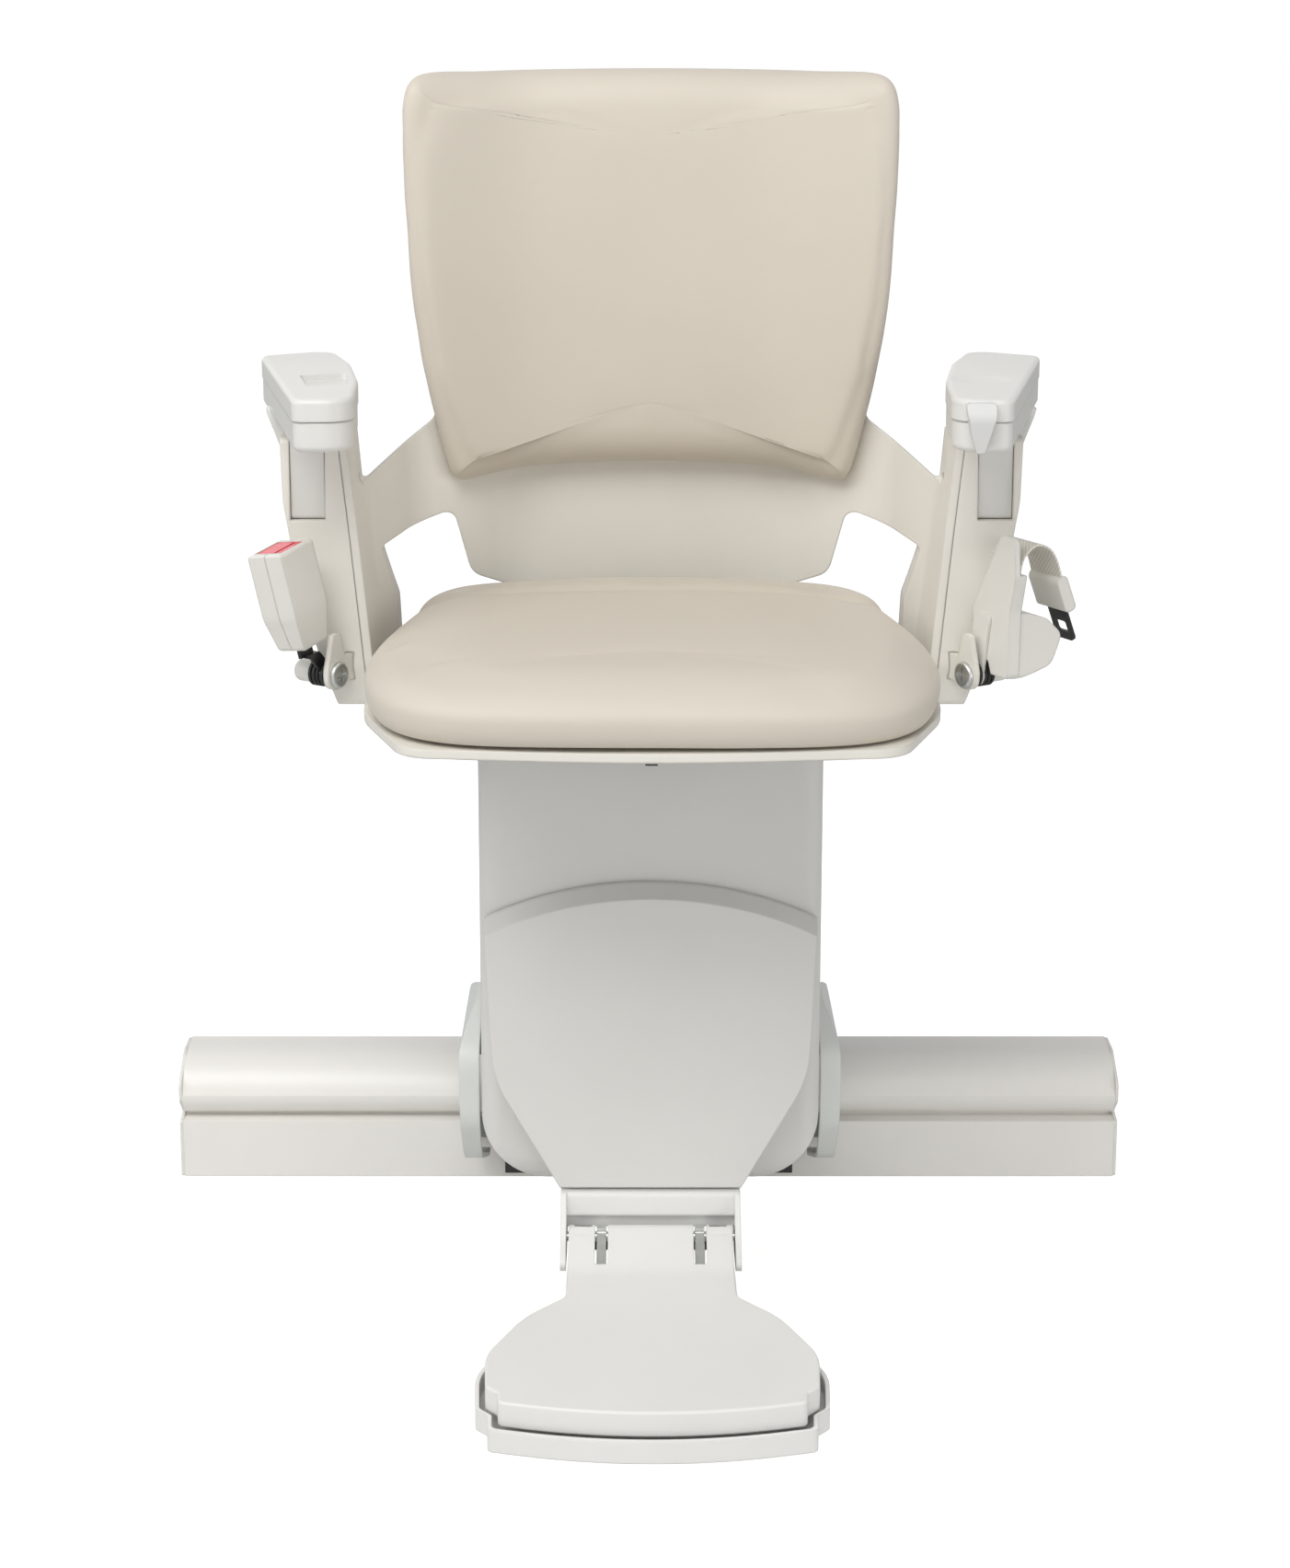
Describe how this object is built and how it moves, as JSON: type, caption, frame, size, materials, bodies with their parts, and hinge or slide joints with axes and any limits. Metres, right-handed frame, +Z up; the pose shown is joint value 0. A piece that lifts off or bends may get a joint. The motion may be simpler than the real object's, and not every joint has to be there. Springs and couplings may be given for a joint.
{
  "type": "stairlift chair",
  "caption": "Stairlift chair on a straight toothed rail: upholstered folding seat, wrap-around back, folding armrests, lap-belt hardware and folding footrest.",
  "frame": {"origin": "centre of the four-bolt pattern on the back face of the rail", "axes": "+X along the rail, -Y the way the chair faces, +Z up"},
  "size_m": [0.906, 0.6368, 1.0986],
  "materials": {
    "rail_cream": "powder-coated cream",
    "cap_white": "moulded end cap",
    "steel_zinc": "zinc-plated steel",
    "steel_dark": "black powder coat",
    "motor_black": "black enamel",
    "roller_nylon": "turned nylon",
    "battery_grey": "battery case",
    "board_green": "circuit board",
    "bronze": "bearing bronze",
    "carriage_white": "light grey-white moulding",
    "edge_grey": "greenish-grey moulding",
    "shell_offwhite": "warm off-white moulding",
    "arm_white": "light grey-white moulding",
    "upholstery": "pale upholstery over foam",
    "joystick_grey": "light grey moulding",
    "buckle_white": "off-white moulding",
    "button_red": "red press button",
    "rubber_black": "ribbed black rubber",
    "webbing": "woven webbing",
    "footrest_white": "near-white moulding"
  },
  "bodies": {
    "rail": {"rail": "rail_cream", "rail_end_caps": "cap_white", "rack": "steel_zinc"},
    "carriage": {"chassis_plate": "steel_dark", "roller_axles": "steel_zinc", "post": "steel_dark", "gearbox": "motor_black", "motor": "motor_black", "battery_tray": "steel_dark", "batteries": "battery_grey", "control_board": "board_green", "column_cover": "carriage_white", "front_shield": "carriage_white", "post_head": "steel_dark", "bearing_ring": "bronze", "footrest_bracket": "steel_dark", "hinge_block": "footrest_white", "footrest_pin": "steel_zinc"},
    "drive_pinion": {"drive_pinion": "steel_zinc"},
    "side_cover_right": {"side_cover_right": "edge_grey"},
    "side_cover_left": {"side_cover_left": "edge_grey"},
    "upper_roller_left": {"upper_roller_left": "roller_nylon"},
    "upper_roller_right": {"upper_roller_right": "roller_nylon"},
    "lower_roller_left": {"lower_roller_left": "roller_nylon"},
    "lower_roller_right": {"lower_roller_right": "roller_nylon"},
    "seat_base": {"swivel_plate": "steel_dark", "seat_frame": "steel_dark", "seat_pins": "steel_zinc", "back_shell": "shell_offwhite", "upright_covers": "shell_offwhite", "back_cushion": "upholstery", "anchor_lugs": "shell_offwhite", "anchor_bolts": "steel_zinc", "anchor_washers": "rubber_black", "anchor_caps": "buckle_white"},
    "swivel_lever": {"swivel_lever": "steel_dark"},
    "seat": {"seat_pan": "shell_offwhite", "seat_cushion": "upholstery"},
    "armrest_left": {"armrest_cover_left": "arm_white", "armrest_casing_left": "arm_white", "armrest_leg_left": "arm_white"},
    "armrest_right": {"armrest_cover_right": "arm_white", "armrest_casing_right": "arm_white", "armrest_leg_right": "arm_white"},
    "joystick": {"joystick": "joystick_grey"},
    "buckle": {"buckle_half_inner": "buckle_white", "buckle_half_outer": "buckle_white", "buckle_stalk": "steel_dark"},
    "buckle_button": {"buckle_button": "button_red"},
    "belt_reel": {"reel_bracket": "steel_dark", "reel_housing": "shell_offwhite", "belt_strap": "webbing"},
    "belt_spool": {"belt_spool": "webbing"},
    "belt_tongue": {"tongue_cover": "buckle_white", "tongue_blade": "steel_dark"},
    "footrest": {"footrest_arms": "steel_zinc", "footplate": "footrest_white", "pan_screws": "steel_zinc"},
    "foot_pan": {"foot_pan": "footrest_white"}
  },
  "joints": [
    {"name": "carriage_travel", "type": "slide", "parent": "rail", "child": "carriage", "axis": [1, 0, 0], "range_m": [-0.25, 0.25]},
    {"name": "pinion_turn", "type": "hinge", "parent": "carriage", "child": "drive_pinion", "pos_m": [0, -0.023, -0.084], "axis": [0, 1, 0], "range_deg": [-600, 600]},
    {"name": "upper_roller_left_turn", "type": "hinge", "parent": "carriage", "child": "upper_roller_left", "pos_m": [-0.108, -0.019, 0.0613], "axis": [0, 1, 0], "range_deg": [-720, 720]},
    {"name": "upper_roller_right_turn", "type": "hinge", "parent": "carriage", "child": "upper_roller_right", "pos_m": [0.108, -0.019, 0.0613], "axis": [0, 1, 0], "range_deg": [-720, 720]},
    {"name": "lower_roller_left_turn", "type": "hinge", "parent": "carriage", "child": "lower_roller_left", "pos_m": [-0.054, -0.061, -0.0873], "axis": [0, 1, 0], "range_deg": [-1200, 1200]},
    {"name": "lower_roller_right_turn", "type": "hinge", "parent": "carriage", "child": "lower_roller_right", "pos_m": [0.054, -0.061, -0.0873], "axis": [0, 1, 0], "range_deg": [-1200, 1200]},
    {"name": "side_cover_right_press", "type": "slide", "parent": "carriage", "child": "side_cover_right", "axis": [-1, 0, 0], "range_m": [0, 0.004], "stiffness_N_per_m": 800},
    {"name": "side_cover_left_press", "type": "slide", "parent": "carriage", "child": "side_cover_left", "axis": [1, 0, 0], "range_m": [0, 0.004], "stiffness_N_per_m": 800},
    {"name": "swivel", "type": "hinge", "parent": "carriage", "child": "seat_base", "pos_m": [0, -0.33, 0.456], "axis": [0, 0, 1], "range_deg": [-90, 90]},
    {"name": "swivel_lever_lock", "type": "hinge", "parent": "seat_base", "child": "swivel_lever", "pos_m": [0, -0.41, 0.4585], "axis": [1, 0, 0], "range_deg": [0, 16]},
    {"name": "seat_fold", "type": "hinge", "parent": "seat_base", "child": "seat", "pos_m": [0, -0.218, 0.528], "axis": [-1, 0, 0], "range_deg": [0, 66]},
    {"name": "armrest_left_fold", "type": "hinge", "parent": "seat_base", "child": "armrest_left", "pos_m": [-0.281, -0.3, 0.652], "axis": [-1, 0, 0], "range_deg": [0, 90]},
    {"name": "armrest_right_fold", "type": "hinge", "parent": "seat_base", "child": "armrest_right", "pos_m": [0.281, -0.3, 0.652], "axis": [-1, 0, 0], "range_deg": [0, 90]},
    {"name": "joystick_rock", "type": "hinge", "parent": "armrest_right", "child": "joystick", "pos_m": [0.247, -0.486, 0.736], "axis": [0, 1, 0], "range_deg": [-15, 15], "stiffness_Nm_per_rad": 0.4},
    {"name": "buckle_swing", "type": "hinge", "parent": "seat_base", "child": "buckle", "pos_m": [-0.262, -0.372, 0.503], "axis": [0.866, -0.5, 0], "range_deg": [0, 60]},
    {"name": "buckle_button_press", "type": "slide", "parent": "buckle", "child": "buckle_button", "axis": [0.198, 0.0646, -0.9781], "range_m": [0, 0.004], "stiffness_N_per_m": 500},
    {"name": "reel_swing", "type": "hinge", "parent": "seat_base", "child": "belt_reel", "pos_m": [0.262, -0.372, 0.503], "axis": [0.866, 0.5, 0], "range_deg": [0, 45]},
    {"name": "spool_turn", "type": "hinge", "parent": "belt_reel", "child": "belt_spool", "pos_m": [0.29144, -0.355, 0.537], "axis": [-0.5, 0.866, 0], "range_deg": [-720, 720]},
    {"name": "tongue_swing", "type": "hinge", "parent": "belt_reel", "child": "belt_tongue", "pos_m": [0.32249, -0.36306, 0.5804], "axis": [-0.5, 0.866, 0], "range_deg": [-15, 15]},
    {"name": "footrest_fold", "type": "hinge", "parent": "carriage", "child": "footrest", "pos_m": [0, -0.356, 0.002], "axis": [-1, 0, 0], "range_deg": [0, 88]},
    {"name": "foot_pan_press", "type": "slide", "parent": "footrest", "child": "foot_pan", "axis": [0, 0, 1], "range_m": [0, 0.003], "stiffness_N_per_m": 1500}
  ],
  "couplings": [
    {"joint": "pinion_turn", "follows": "carriage_travel", "rad_per_m": -41.667},
    {"joint": "upper_roller_left_turn", "follows": "carriage_travel", "rad_per_m": 50},
    {"joint": "upper_roller_right_turn", "follows": "carriage_travel", "rad_per_m": 50},
    {"joint": "lower_roller_left_turn", "follows": "carriage_travel", "rad_per_m": -83.333},
    {"joint": "lower_roller_right_turn", "follows": "carriage_travel", "rad_per_m": -83.333}
  ]
}
